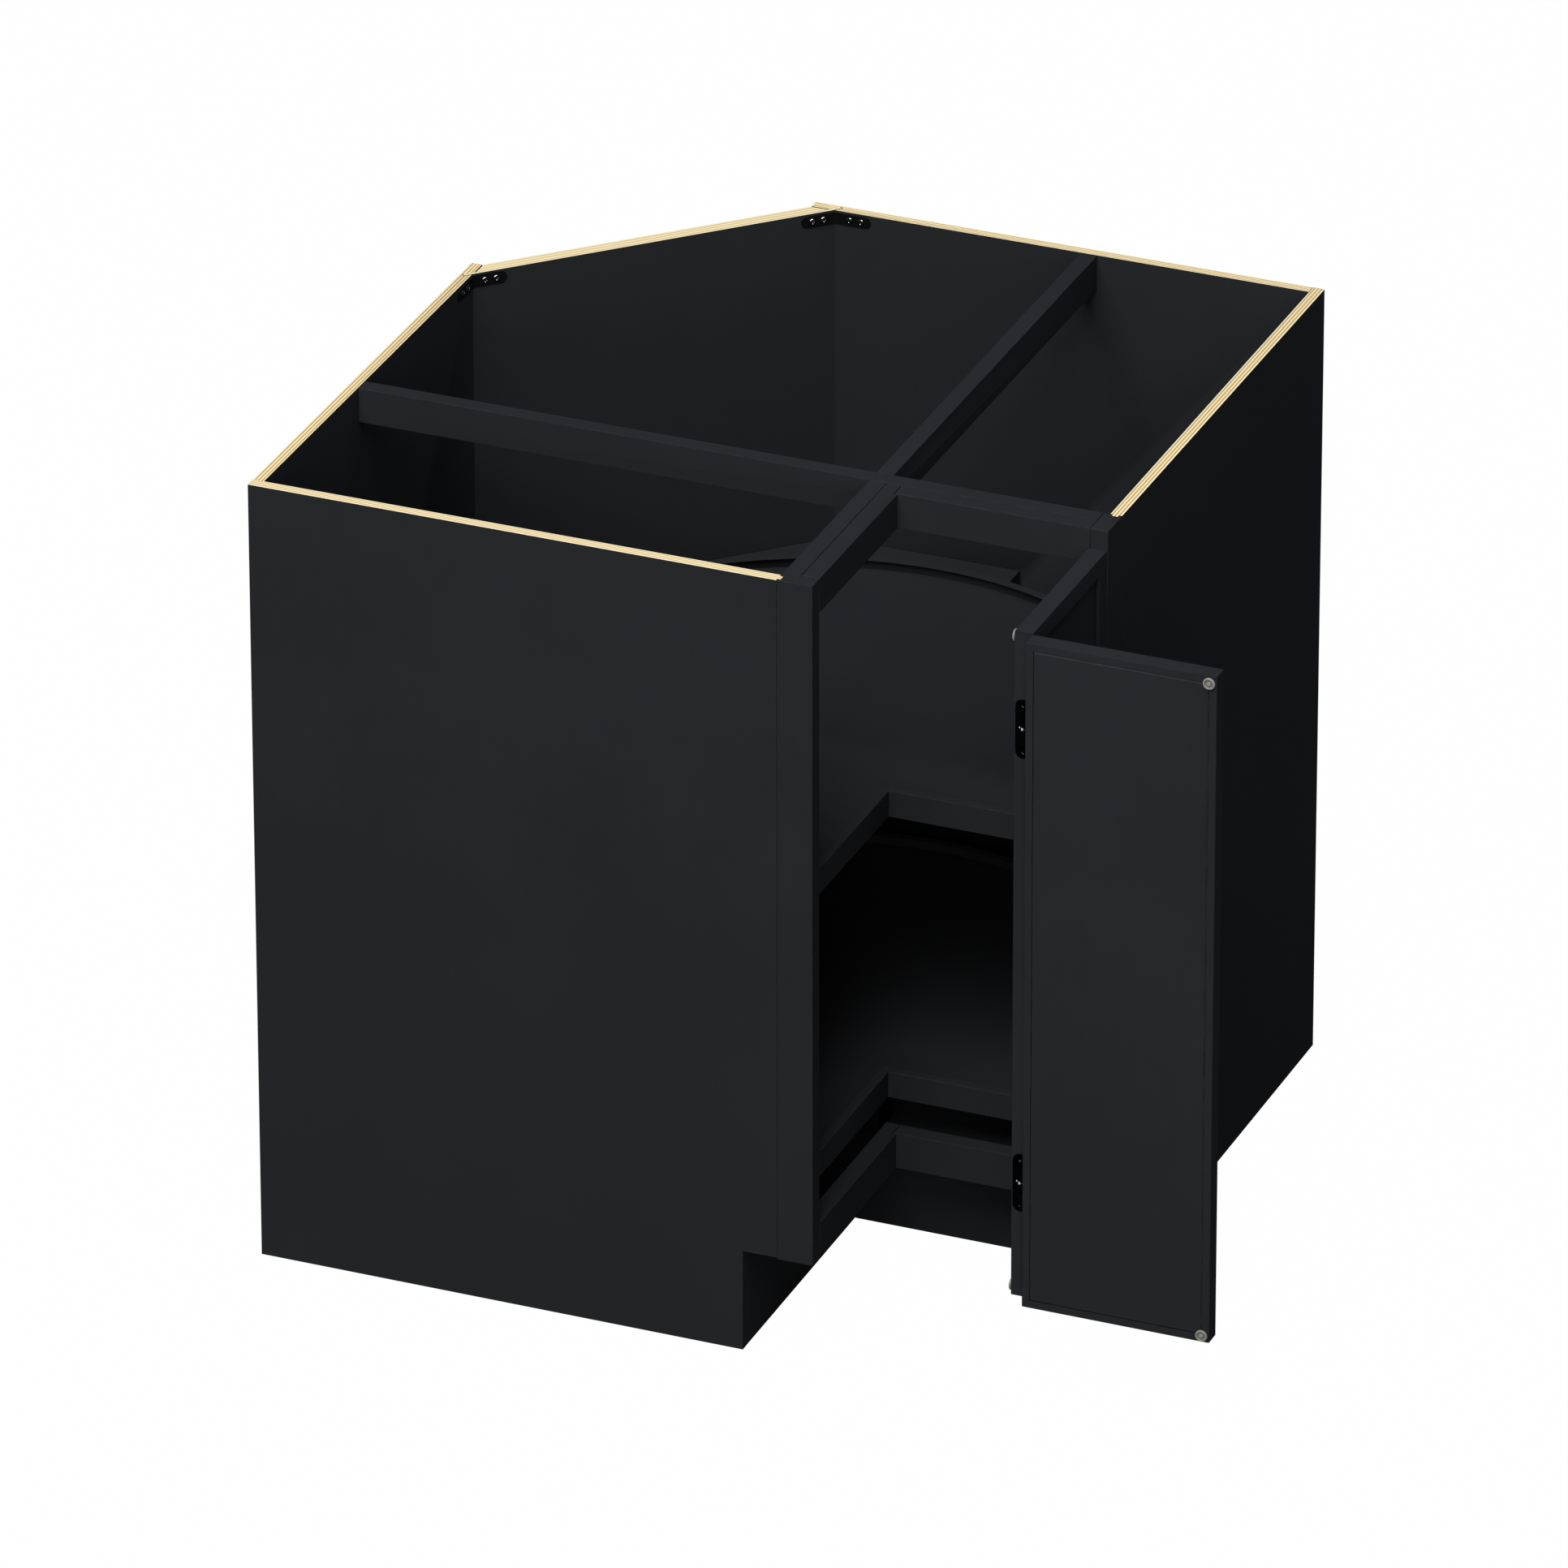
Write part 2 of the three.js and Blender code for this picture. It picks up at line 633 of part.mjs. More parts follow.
function sector(centre, radii, from, to, z) {
  const steps = Math.max(4, Math.round(Math.abs(to - from) / 12));
  return prism([...arc(centre, radii[1], from, to, steps), ...arc(centre, radii[0], to, from, steps)], z);
}

const linkStack = (linkCount - 1) * linkPitch + linkHeight;

// curved pocket in which the links slide, about the folding axis at the leaf's front edge
function linkPocket(end, inward, z) {
  const radii = [linkMiddle - linkSheet / 2 - linkPlay, linkMiddle + linkSheet / 2 + linkPlay];
  const start = 270 - inward * linkMouth;
  const stop = 270 + inward * (linkEngage + linkEndPlay);
  const half = linkStack / 2 + linkPlay;
  return sector([end - inward * foldGap, leafThickness], radii, start, stop, [z - half, z + half]);
}

function foldHalf(end, inward, z) {
  return foldBlank(end, inward, z, 0).subtract(linkPocket(end, inward, z));
}

function bumper(x, z) {
  const base = -panelProud - fit;
  const top = base - bumperHeight;
  const [grooveOuter, grooveDeep] = bumperGroove;
  const profile = [
    [0, base], [bumperRadius, base], [bumperRadius, top + bumperRim], [bumperRadius - bumperRim, top],
    [grooveOuter, top], [grooveOuter, top + grooveDeep],
    [bumperButton, top + grooveDeep], [bumperButton, top], [0, top],
  ];
  return turned(profile, facets.small).translate([x, 0, z]);
}

function hingeCup(z) {
  const rimFace = -panelProud - fit - cupFlange;
  const inner = cupRadius - cupWall;
  const shell = turned([
    [0, cupDepth], [cupRadius, cupDepth], [cupRadius, rimFace], [inner, rimFace],
    [inner, cupDepth - cupFloor], [0, cupDepth - cupFloor],
  ], cupFacets).translate([cupInset, 0, z]);
  const flangeLayer = [rimFace, rimFace + cupFlange];
  const ears = slab(stadium(2 * flangeScrewReach + flangeWidth, flangeWidth, [cupInset, z]), flangeLayer,
    [-1, 1].map((side) => circle([cupInset, z + side * flangeScrewReach], hingeScrewHole, facets.hole)));
  const collar = turned([
    [0, flangeLayer[0]], [cupRadius + cupCollar, flangeLayer[0]],
    [cupRadius + cupCollar, flangeLayer[1]], [0, flangeLayer[1]],
  ], cupFacets).translate([cupInset, 0, z]);
  const mouth = turned([
    [0, rimFace - cutOver], [inner, rimFace - cutOver], [inner, cupDepth - cupFloor],
    [0, cupDepth - cupFloor],
  ], cupFacets).translate([cupInset, 0, z]);
  const pinX = span - hingePivot[0];
  const pinY = leafThickness - pinX; // the open leaf's front is flush with the cabinet's side
  const core = turned([[0, 0], [cupRadius, 0], [cupRadius, cupDepth], [0, cupDepth]], cupFacets)
    .translate([cupInset, 0, z]);
  const pin = rod(hingePin, [z - cupRadius, z + cupRadius], [pinX, pinY], facets.small).intersect(core);
  const trim = box([0, flangeTrim], [rimFace - cutOver, cupDepth], [z - cupRadius * 2, z + cupRadius * 2]);
  return shell.add(ears.add(collar).subtract(mouth)).subtract(trim).add(pin);
}

// arm on the stile: a plate, a crank round the open leaf's back and a barrel on the cup's pin
function hingeArm(z) {
  const [pivotX, pivotY] = hingePivot;
  const stileFace = span - stileWidth - fit;
  const middle = span - leafThickness - armOffset;
  const [low, high] = [middle - armSheet / 2, middle + armSheet / 2];
  const tip = pivotY - armSheet / 2;
  const rear = frontPlane + mountPlateFront + mountPlateLength;
  const across = [z - armWidth / 2, z + armWidth / 2];
  const half = mountPlateHeight / 2;
  const plate = box([low, stileFace], [frontPlane + mountPlateFront, rear], [z - half, z + half]);
  return box([low, pivotX], [tip, pivotY + armSheet / 2], across)
    .add(box([low, high], [tip, rear], across))
    .add(rod(barrelRadius, across, hingePivot))
    .add(plate)
    .subtract(rod(hingePin + pinPlay, [z - half, z + half], hingePivot, facets.small));
}

const leaves = {
  right: {
    place: [span - leafThickness, frontPlane - hingeEndClear],
    turn: -90,
    eases: [hingeBackEase, hingeFrontEase],
    foldEnd: leafLength,
    inward: -1,
    cups: true,
  },
  left: {
    place: [span + foldGap, foldAxis[1] - leafThickness],
    turn: 0,
    eases: [edgeEase, edgeEase],
    foldEnd: 0,
    inward: 1,
    cups: false,
  },
};

for (const [side, leaf] of Object.entries(leaves)) {
  const group = new THREE.Group();
  group.position.set(leaf.place[0], leaf.place[1], 0);
  group.rotation.z = THREE.MathUtils.degToRad(leaf.turn);
  cabinet.add(group);

  let cutters = Object.values(hingeHeights).map((z) => foldBlank(leaf.foldEnd, leaf.inward, z, fit));
  if (leaf.cups) cutters = cutters.concat(Object.values(hingeHeights).map(cupBore));
  const cut = (shape) => cutters.reduce((left, cutter) => left.subtract(cutter), shape);

  const envelope = leafEnvelope(leaf.eases);
  for (const edge of ["hinge", "far", "top", "bottom"]) {
    const kind = edge === "hinge" || edge === "far" ? "stile" : "rail";
    add(group, `${side}_leaf_${edge}_${kind}`, cut(leafMember(edge, envelope)), "blackBoard");
  }
  add(group, `${side}_leaf_panel`, cut(leafPanel()), "blackBoard");

  for (const [level, z] of Object.entries(hingeHeights)) {
    add(group, `${level}_fold_hinge_${side}_half`, foldHalf(leaf.foldEnd, leaf.inward, z), "blackSteel");
    if (leaf.cups) add(group, `${level}_frame_hinge_cup`, hingeCup(z), "blackSteel");
  }
  const bumperX = leafLength - bumperInset;
  add(group, `${side}_leaf_upper_bumper`, bumper(bumperX, leafTop - bumperInset), "clearRubber");
  add(group, `${side}_leaf_lower_bumper`, bumper(bumperX, leafBottom + bumperInset), "clearRubber");
}

// three curved links on a common pin, half way between the leaves
function foldLinks(z) {
  const radii = [linkMiddle - linkSheet / 2, linkMiddle + linkSheet / 2];
  const half = linkStack / 2;
  const [pin] = arc(foldAxis, linkMiddle, 225, 226, 1);
  let links = rod(linkPin, [z - half, z + half], pin, facets.small);
  for (let link = 0; link < linkCount; link += 1) {
    const low = z - half + link * linkPitch;
    links = links.add(sector(foldAxis, radii, 180 - linkEngage, 270 + linkEngage, [low, low + linkHeight]));
  }
  return links;
}

for (const [level, z] of Object.entries(hingeHeights)) {
  add(cabinet, `${level}_frame_hinge_arm`, hingeArm(z), "blackSteel");
  add(cabinet, `${level}_fold_hinge_links`, foldLinks(z), "blackSteel");
}

// ---- origin: the middle of the whole footprint, doors as shown, at floor level ----

const rightmost = span + foldGap + leafLength;
const foremost = Math.min(0, foldAxis[1] - leafThickness - panelProud - fit - bumperHeight);
cabinet.position.set(-rightmost / 2, -(span + foremost) / 2, 0);
const part = new THREE.Group();
part.add(cabinet);

export default part;
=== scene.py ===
import json
from math import atan2, cos, degrees, pi, radians, sin

import bmesh
import bpy
from mathutils import Matrix, Vector


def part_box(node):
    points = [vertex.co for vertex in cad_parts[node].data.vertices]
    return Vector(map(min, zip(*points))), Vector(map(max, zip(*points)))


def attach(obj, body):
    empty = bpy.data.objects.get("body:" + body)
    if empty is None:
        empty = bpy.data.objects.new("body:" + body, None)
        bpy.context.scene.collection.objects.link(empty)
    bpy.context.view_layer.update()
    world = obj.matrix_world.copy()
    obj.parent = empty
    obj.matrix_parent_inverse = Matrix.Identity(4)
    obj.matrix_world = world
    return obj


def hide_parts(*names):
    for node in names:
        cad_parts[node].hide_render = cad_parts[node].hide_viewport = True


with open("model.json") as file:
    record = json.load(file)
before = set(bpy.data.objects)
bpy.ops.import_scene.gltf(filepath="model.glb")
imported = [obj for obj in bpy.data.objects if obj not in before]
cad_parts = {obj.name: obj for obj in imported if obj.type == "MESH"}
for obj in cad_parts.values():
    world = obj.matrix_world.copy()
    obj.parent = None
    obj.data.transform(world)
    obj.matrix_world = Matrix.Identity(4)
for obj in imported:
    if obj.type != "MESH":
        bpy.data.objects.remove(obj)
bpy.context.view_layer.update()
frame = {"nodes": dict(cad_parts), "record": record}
bodyOfNode = {node: body for body, nodes in frame["record"]["behaviour"]["bodies"].items() for node in nodes}

# the drawing of the cabinet starts at the outer corner of its left back wall and left end panel, in mm
sheet = {"originX": 518.425, "originY": 417.0, "span": 835.0, "depth": 609.6, "height": 876.3}


def at(x, y, z):  # a point of the drawing, in the row frame
    return Vector(((x - sheet["originX"]) / 1000, (y - sheet["originY"]) / 1000, z / 1000))


def mm(value):
    return value / 1000


# ---- camera: a long lens from the front, a little to the right and well above

cameraSettings = {
    "eye": (5997.81, -13139.84, 7893.48),
    "azimuth": 22.4097,
    "elevation": 26.9989,
    "roll": -0.0825,
    "focalPixels": 19785.2,
    "imagePixels": 1932.0,
    "sensor": 36.0,
}


def makeCamera(s):
    data = bpy.data.cameras.new("camera")
    camera = bpy.data.objects.new("camera", data)
    bpy.context.scene.collection.objects.link(camera)
    az, el, roll = (radians(s[key]) for key in ("azimuth", "elevation", "roll"))
    forward = Vector((-sin(az) * cos(el), cos(az) * cos(el), -sin(el)))
    right = Vector((cos(az), sin(az), 0))
    up = right.cross(forward)
    across = cos(roll) * right + sin(roll) * up
    above = -sin(roll) * right + cos(roll) * up
    turn = Matrix((across, above, -forward)).transposed()
    camera.matrix_world = Matrix.Translation(at(*s["eye"])) @ turn.to_4x4()
    data.sensor_width = s["sensor"]
    data.lens = s["focalPixels"] / s["imagePixels"] * s["sensor"]
    data.clip_start, data.clip_end = 1.0, 200.0
    bpy.context.scene.camera = camera


makeCamera(cameraSettings)
print("camera placed")


# ---- shader sums written as plain expressions

class Wire:
    def __init__(self, finish, socket):
        self.finish, self.socket = finish, socket

    def maths(self, operation, *values):
        return self.finish.node("ShaderNodeMath", {"operation": operation}, dict(enumerate(values)))

    def __add__(self, other):
        return self.maths("ADD", self, other)

    def __radd__(self, other):
        return self.maths("ADD", other, self)

    def __sub__(self, other):
        return self.maths("SUBTRACT", self, other)

    def __rsub__(self, other):
        return self.maths("SUBTRACT", other, self)

    def __mul__(self, other):
        return self.maths("MULTIPLY", self, other)

    def __rmul__(self, other):
        return self.maths("MULTIPLY", other, self)

    def __truediv__(self, other):
        return self.maths("DIVIDE", self, other)

    def __pow__(self, other):
        return self.maths("POWER", self, other)

    def __gt__(self, other):
        return self.maths("GREATER_THAN", self, other)

    def __lt__(self, other):
        return self.maths("LESS_THAN", self, other)

    def cosine(self):
        return self.maths("COSINE", self)

    def size(self):
        return self.maths("ABSOLUTE", self)

    def smooth(self, low, high, start=0.0, end=1.0):
        return self.finish.node("ShaderNodeMapRange", {"interpolation_type": "SMOOTHSTEP"},
                                {"Value": self, "From Min": low, "From Max": high, "To Min": start, "To Max": end})


class Finish:
    def __init__(self, name, **values):
        self.material = bpy.data.materials.new(name)
        self.material.use_nodes = True
        self.tree = self.material.node_tree
        self.shader = self.tree.nodes["Principled BSDF"]
        self.set(**values)

    def feed(self, socket, value):
        if isinstance(value, Wire):
            self.tree.links.new(value.socket, socket)
        elif socket.type == "RGBA" and len(value) == 3:
            socket.default_value = (*value, 1)
        else:
            socket.default_value = value

    def set(self, **values):
        for key, value in values.items():
            self.feed(self.shader.inputs[key.replace("_", " ")], value)

    def node(self, kind, settings=None, sockets=None, out=0):
        made = self.tree.nodes.new(kind)
        for key, value in (settings or {}).items():
            if key == "stops":
                ramp = made.color_ramp
                for index, (place, colour) in enumerate(value):
                    stop = ramp.elements[index] if index < 2 else ramp.elements.new(place)
                    stop.position, stop.color = place, (*colour, 1)
            else:
                setattr(made, key, value)
        for key, value in (sockets or {}).items():
            self.feed(made.inputs[key], value)
        return Wire(self, made.outputs[out])

    def place(self, scale=(1, 1, 1), turn=(0, 0, 0), shift=(0, 0, 0)):
        where = self.node("ShaderNodeTexCoord", out="Object")
        return self.node("ShaderNodeMapping", {}, {"Vector": where, "Location": shift, "Rotation": turn, "Scale": scale})

    def axes(self):
        where = self.node("ShaderNodeTexCoord", out="Object")
        split = self.node("ShaderNodeSeparateXYZ", {}, {"Vector": where})
        return [Wire(self, split.socket.node.outputs[index]) for index in range(3)]

    def noise(self, where, scale, detail=2.0, rough=0.5):
        return self.node("ShaderNodeTexNoise", {"noise_dimensions": "3D"},
                         {"Vector": where, "Scale": scale, "Detail": detail, "Roughness": rough})

    def cells(self, where, scale):
        return self.node("ShaderNodeTexVoronoi", {"feature": "F1"}, {"Vector": where, "Scale": scale})

    def mix(self, mask, first, second):
        return self.node("ShaderNodeMix", {"data_type": "RGBA"}, {0: mask, 6: first, 7: second}, out=2)

    def mark(self, name):
        return self.node("ShaderNodeAttribute", {"attribute_name": name}, out="Fac")

    def bump(self, height, strength, distance):
        self.set(Normal=self.node("ShaderNodeBump", {},
                                  {"Strength": strength, "Distance": distance, "Height": height}))


# ---- finishes

boardFinish = {
    "colour": (0.0178, 0.0186, 0.0203),
    "light": (0.0200, 0.0209, 0.0228),
    # edge: the arrises' colour, lighter than the face: a painted sheen along them, with a little wear
    "edge": (0.030, 0.031, 0.034),
    "roughness": 0.6,
    "specular": 0.0004,  # a dead flat black, with hardly any gleam even along the face
    "peel": 900.0,  # orange peel of the sprayed lacquer, cells to a metre
    "grain": {"up": (60, 60, 2.2), "acrossX": (2.2, 60, 60), "acrossY": (60, 2.2, 60)},
}


def lacquer(name, s, grain):
    f = Finish(name, Specular_IOR_Level=s["specular"])
    along = f.place(scale=s["grain"][grain])
    peel = f.noise(f.place(), s["peel"], 2.0, 0.55)
    grainLines = f.noise(along, 9.0, 4.0, 0.6)
    pores = f.noise(along, 38.0, 2.0, 0.5).smooth(0.60, 0.76)
    cloud = f.noise(f.place(), 5.5, 3.0, 0.6)
    # the marked bevel faces are lightened in patches, a painted sheen along the arrises with a little wear
    rubbed = f.mark("edge")
    face = f.mix(cloud.smooth(0.3, 0.72) * 0.7 + grainLines.smooth(0.35, 0.7) * 0.3, s["colour"], s["light"])
    f.set(Base_Color=f.mix(rubbed * f.noise(f.place(), 70.0).smooth(0.35, 0.7) * 0.55, face, s["edge"]))
    f.set(Roughness=s["roughness"] + (cloud - 0.5) * 0.06 + (peel - 0.5) * 0.12 - rubbed * 0.10)
    f.bump(peel * 0.45 + grainLines * 0.55 - pores * 0.35, 0.22, 0.00022)
    return f.material


# the riser and its bearers are painted darker than the other boards, a painted shade where they sit back in the dark
# of the lower bay
shadedRiserFinish = {**boardFinish, "colour": (0.0062, 0.0065, 0.0071), "light": (0.0074, 0.0077, 0.0084)}

plyFinish = {
    "pale": (0.83, 0.73, 0.45),  # plies cut along their grain
    "streak": (0.74, 0.60, 0.35),
    "outer": (0.80, 0.74, 0.52),  # the two face veneers
    "tan": (0.47, 0.32, 0.145),  # plies between them, cut across their grain
    "glue": (0.36, 0.22, 0.09),
    "skin": (0.004, 0.004, 0.0045),
    "skinAndShadowShare": 0.045,  # the inner face's black film, made wide enough to also paint the shadow line along the inner arris; the outer one is too thin to show
    "roughness": 0.62,
}


# stripes run across the board's thickness; "across" is the unit direction of the thickness in plan
def plywoodEdge(name, s, across, start, thick, plies, contrast, wobble):
    f = Finish(name, Specular_IOR_Level=0.02)
    x, y, z = f.axes()
    depthIn = (x * across[0] + y * across[1] - start) / thick
    run = x * across[1] - y * across[0]
    wander = f.noise(f.node("ShaderNodeCombineXYZ", {}, {"X": run * 9.0, "Y": depthIn * 1.1, "Z": z * 9.0}), 1.0, 3.0)
    wave = ((depthIn + (wander - 0.5) * wobble) * (plies * pi) - pi / 2).cosine()
    tan = (1.0 - wave.smooth(-0.4, 0.5)) * contrast
    streak = f.noise(f.node("ShaderNodeCombineXYZ", {}, {"X": run * 16.0, "Y": depthIn * plies * 5.0, "Z": z * 16.0}),
                     3.0, 4.0, 0.65)
    speck = f.noise(f.place(), 1500.0, 2.0, 0.6)
    pale = f.mix(streak.smooth(0.42, 0.72), s["pale"], s["streak"])
    veneer = (depthIn < 0.13) + (depthIn > 0.87)
    darker = f.mix(speck.smooth(0.45, 0.8) * 0.6, s["tan"], s["glue"])
    wood = f.mix(tan, f.mix(veneer, pale, s["outer"]), darker)
    # the inner face's black film, widened to stand in for the shadow line along the arris as well
    skin = depthIn > 1.0 - s["skinAndShadowShare"]
    f.set(Base_Color=f.mix(skin, wood, s["skin"]))
    f.set(Roughness=s["roughness"] + (streak - 0.5) * 0.2 + tan * 0.12)
    f.bump(streak * 0.5 + speck * 0.2 - tan * 0.6, 0.35, 0.00025)
    return f.material


# each black steel's lighter colour is the painted sheen and wear on its arrises; the pale colours are painted glints
# on the screw heads, drawn as bare steel
steelFinish = {"black": (0.0042, 0.0042, 0.0045), "rubbed": (0.014, 0.014, 0.015), "roughness": 0.36,
               "dark": (0.0007, 0.0007, 0.0008), "darkHighlightAndWear": (0.0022, 0.0022, 0.0024),
               "zinc": (0.56, 0.57, 0.585), "zincDark": (0.40, 0.41, 0.43), "bare": (0.80, 0.80, 0.78),
               "glintDull": (0.42, 0.42, 0.41), "screw": (0.0030, 0.0030, 0.0032), "screwWorn": (0.007, 0.007, 0.0075)}


def blackSteel(name, s, plain, paintedBright, specular):
    f = Finish(name, Specular_IOR_Level=specular)
    grit = f.noise(f.place(), 1100.0, 2.0, 0.6)
    cloud = f.noise(f.place(), 60.0, 3.0)
    # the marked arrises are lightened in patches, a painted sheen with a little wear
    rubbed = f.mark("edge") * cloud.smooth(0.45, 0.75)
    f.set(Base_Color=f.mix(rubbed * 0.6, s[plain], s[paintedBright]))
    f.set(Roughness=s["roughness"] + (cloud - 0.5) * 0.16 + (grit - 0.5) * 0.12 - rubbed * 0.08)
    f.bump(grit, 0.18, 0.0001)
    return f.material


def zincSteel(name, s):
    f = Finish(name, Metallic=1.0)
    spangle = f.cells(f.place(), 240.0)
    rolled = f.noise(f.place(scale=(8, 600, 600)), 1.0, 3.0)
    f.set(Base_Color=f.mix(spangle.smooth(0.1, 0.9) * 0.5 + rolled * 0.3, s["zinc"], s["zincDark"]))
    f.set(Roughness=0.24 + rolled * 0.14 + spangle * 0.08)
    f.bump(rolled, 0.12, 0.00008)
    return f.material


def blackScrewSteel(name, s):
    f = Finish(name, Specular_IOR_Level=0.05)
    grit = f.noise(f.place(), 900.0, 2.0)
    f.set(Base_Color=f.mix(grit.smooth(0.3, 0.7), s["screw"], s["screwWorn"]))
    f.set(Roughness=0.30 + grit * 0.15)
    f.bump(grit, 0.08, 0.00006)
    return f.material


def paintedGlintSteel(name, s):  # painted glints on the screw heads, drawn as bright bare steel
    f = Finish(name, Metallic=0.25)
    grit = f.noise(f.place(), 1300.0, 2.0)
    f.set(Base_Color=f.mix(grit.smooth(0.45, 0.8) * 0.6, s["bare"], s["glintDull"]))
    f.set(Roughness=0.3 + grit * 0.2)
    f.bump(grit, 0.1, 0.00006)
    return f.material


# groove: the ring groove's colour, darker than the rest, a painted shade in the groove
bumperFinish = {"colour": (0.23, 0.225, 0.205), "deep": (0.16, 0.157, 0.144),
                "groove": (0.105, 0.103, 0.095), "roughness": 0.38}


def bumperPlastic(name, s):
    f = Finish(name, Specular_IOR_Level=0.35, Transmission_Weight=0.08, IOR=1.45)
    haze = f.noise(f.place(), 420.0, 3.0)
    flow = f.noise(f.place(), 1500.0, 2.0)
    clear = f.mix(haze.smooth(0.3, 0.7) * 0.6, s["colour"], s["deep"])
    # the marked groove takes the darker groove colour, a painted shade
    f.set(Base_Color=f.mix(f.mark("edge") * 0.8, clear, s["groove"]))
    f.set(Roughness=s["roughness"] + (haze - 0.5) * 0.2)
    f.bump(haze * 0.6 + flow * 0.4, 0.15, 0.0001)
    return f.material


finishes = {
    "standing": lacquer("blackLacquerStanding", boardFinish, "up"),
    "alongX": lacquer("blackLacquerAlongX", boardFinish, "acrossX"),
    "alongY": lacquer("blackLacquerAlongY", boardFinish, "acrossY"),
    "riser": lacquer("blackPaintRiserShaded", shadedRiserFinish, "acrossX"),
    "blackSteel": blackSteel("blackCoatedSteel", steelFinish, "black", "rubbed", 0.03),
    "darkSteel": blackSteel("blackedHingeSteel", steelFinish, "dark", "darkHighlightAndWear", 0.004),
    "zinc": zincSteel("zincPlatedSteel", steelFinish),
    "bumper": bumperPlastic("clearBumperPlastic", bumperFinish),
    "blackScrew": blackScrewSteel("blackScrewSteel", steelFinish),
    "rubbed": paintedGlintSteel("paintedGlintSteel", steelFinish),
}
print("finishes made")


# ---- boards: merged copies of the solids with their arrises eased, so that the edges catch the light

def finishPiece(name, bm, body, materials, replaced=(), sharpAngle=32):
    mesh = bpy.data.meshes.new(name)
    bm.to_mesh(mesh)
    bm.free()
    piece = bpy.data.objects.new(name, mesh)
    bpy.context.scene.collection.objects.link(piece)
    for material in materials:
        mesh.materials.append(material)
    mesh.shade_smooth()
    mesh.set_sharp_from_angle(angle=radians(sharpAngle))
    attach(piece, body)
    if replaced:
        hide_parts(*replaced)
    return piece


def mergedCopy(node):
    bm = bmesh.new()
    bm.from_mesh(frame["nodes"][node].data)
    bmesh.ops.remove_doubles(bm, verts=bm.verts, dist=1e-6)
    bmesh.ops.dissolve_limit(bm, angle_limit=radians(0.6), verts=bm.verts, edges=bm.edges)
    for layer in list(bm.faces.layers.float.values()):
        bm.faces.layers.float.remove(layer)
    for face in bm.faces:
        face.material_index = 0
    bm.faces.layers.float.new("edge")
    return bm


def easeEdges(bm, width, segments=2, limit=40, paintedBright=1.0, longest=False):
    sharp = [e for e in bm.edges if e.is_manifold and e.calc_face_angle() > radians(limit)
             and not any(0.6 < abs(face.normal.z) < 0.8 for face in e.link_faces)]  # mitred joints stay tight
    if longest:
        sharp = [e for e in sharp if e.calc_length() > 0.5]
    made = bmesh.ops.bevel(bm, geom=sharp, offset=mm(width), offset_type="OFFSET", affect="EDGES",
                           segments=segments, profile=0.5, material=-1, clamp_overlap=True)
    # the bevel faces are marked with this strength for the painted sheen and wear that lighten the arrises
    paintedHighlight = bm.faces.layers.float["edge"]
    for face in made["faces"]:
        face[paintedHighlight] = paintedBright


def camel(node):
    first, *rest = node.split("_")
    return first + "".join(word.capitalize() for word in rest)


def easedPiece(node, finish, width, segments, longest=False):
    bm = mergedCopy(node)
    easeEdges(bm, width, segments, longest=longest)
    return finishPiece(camel(node), bm, bodyOfNode[node], [finishes[finish]], [node],
                       20 if segments > 1 else 32)


# walls with bare plies on their top and bottom edges
plyWalls = {
    "left_end_panel": {"across": (0, 1), "start": (0, 0), "thick": 12.7, "plies": 7, "contrast": 0.8, "wobble": 0.03},
    "right_end_panel": {"across": (-1, 0), "start": (835, 0), "thick": 12.7, "plies": 7, "contrast": 1.0, "wobble": 0.03},
    "left_back_wall": {"across": (1, 0), "start": (0, 0), "thick": 12.7, "plies": 7, "contrast": 1.0, "wobble": 0.03},
    "right_back_wall": {"across": (0, -1), "start": (0, 835), "thick": 12.7, "plies": 7, "contrast": 0.8, "wobble": 0.03},
    "diagonal_back": {"across": (0.70711, -0.70711), "start": (0.26, 550.72), "thick": 18.0, "plies": 7,
                      "contrast": 0.5, "wobble": 0.16},
}
wallEase = 0.25


def plyWall(node, s):
    bm = mergedCopy(node)
    easeEdges(bm, wallEase, 1, paintedBright=0.0)
    for face in bm.faces:
        if abs(face.normal.z) > 0.6:
            face.material_index = 1
    start = at(*s["start"], 0)
    offset = start.x * s["across"][0] + start.y * s["across"][1]
    edge = plywoodEdge(camel(node) + "Plies", plyFinish, s["across"], offset, mm(s["thick"]), s["plies"],
                       s["contrast"], s["wobble"])
    finishPiece(camel(node), bm, bodyOfNode[node], [finishes["standing"], edge], [node])


for node, settings in plyWalls.items():
    plyWall(node, settings)
print("plywood walls made")

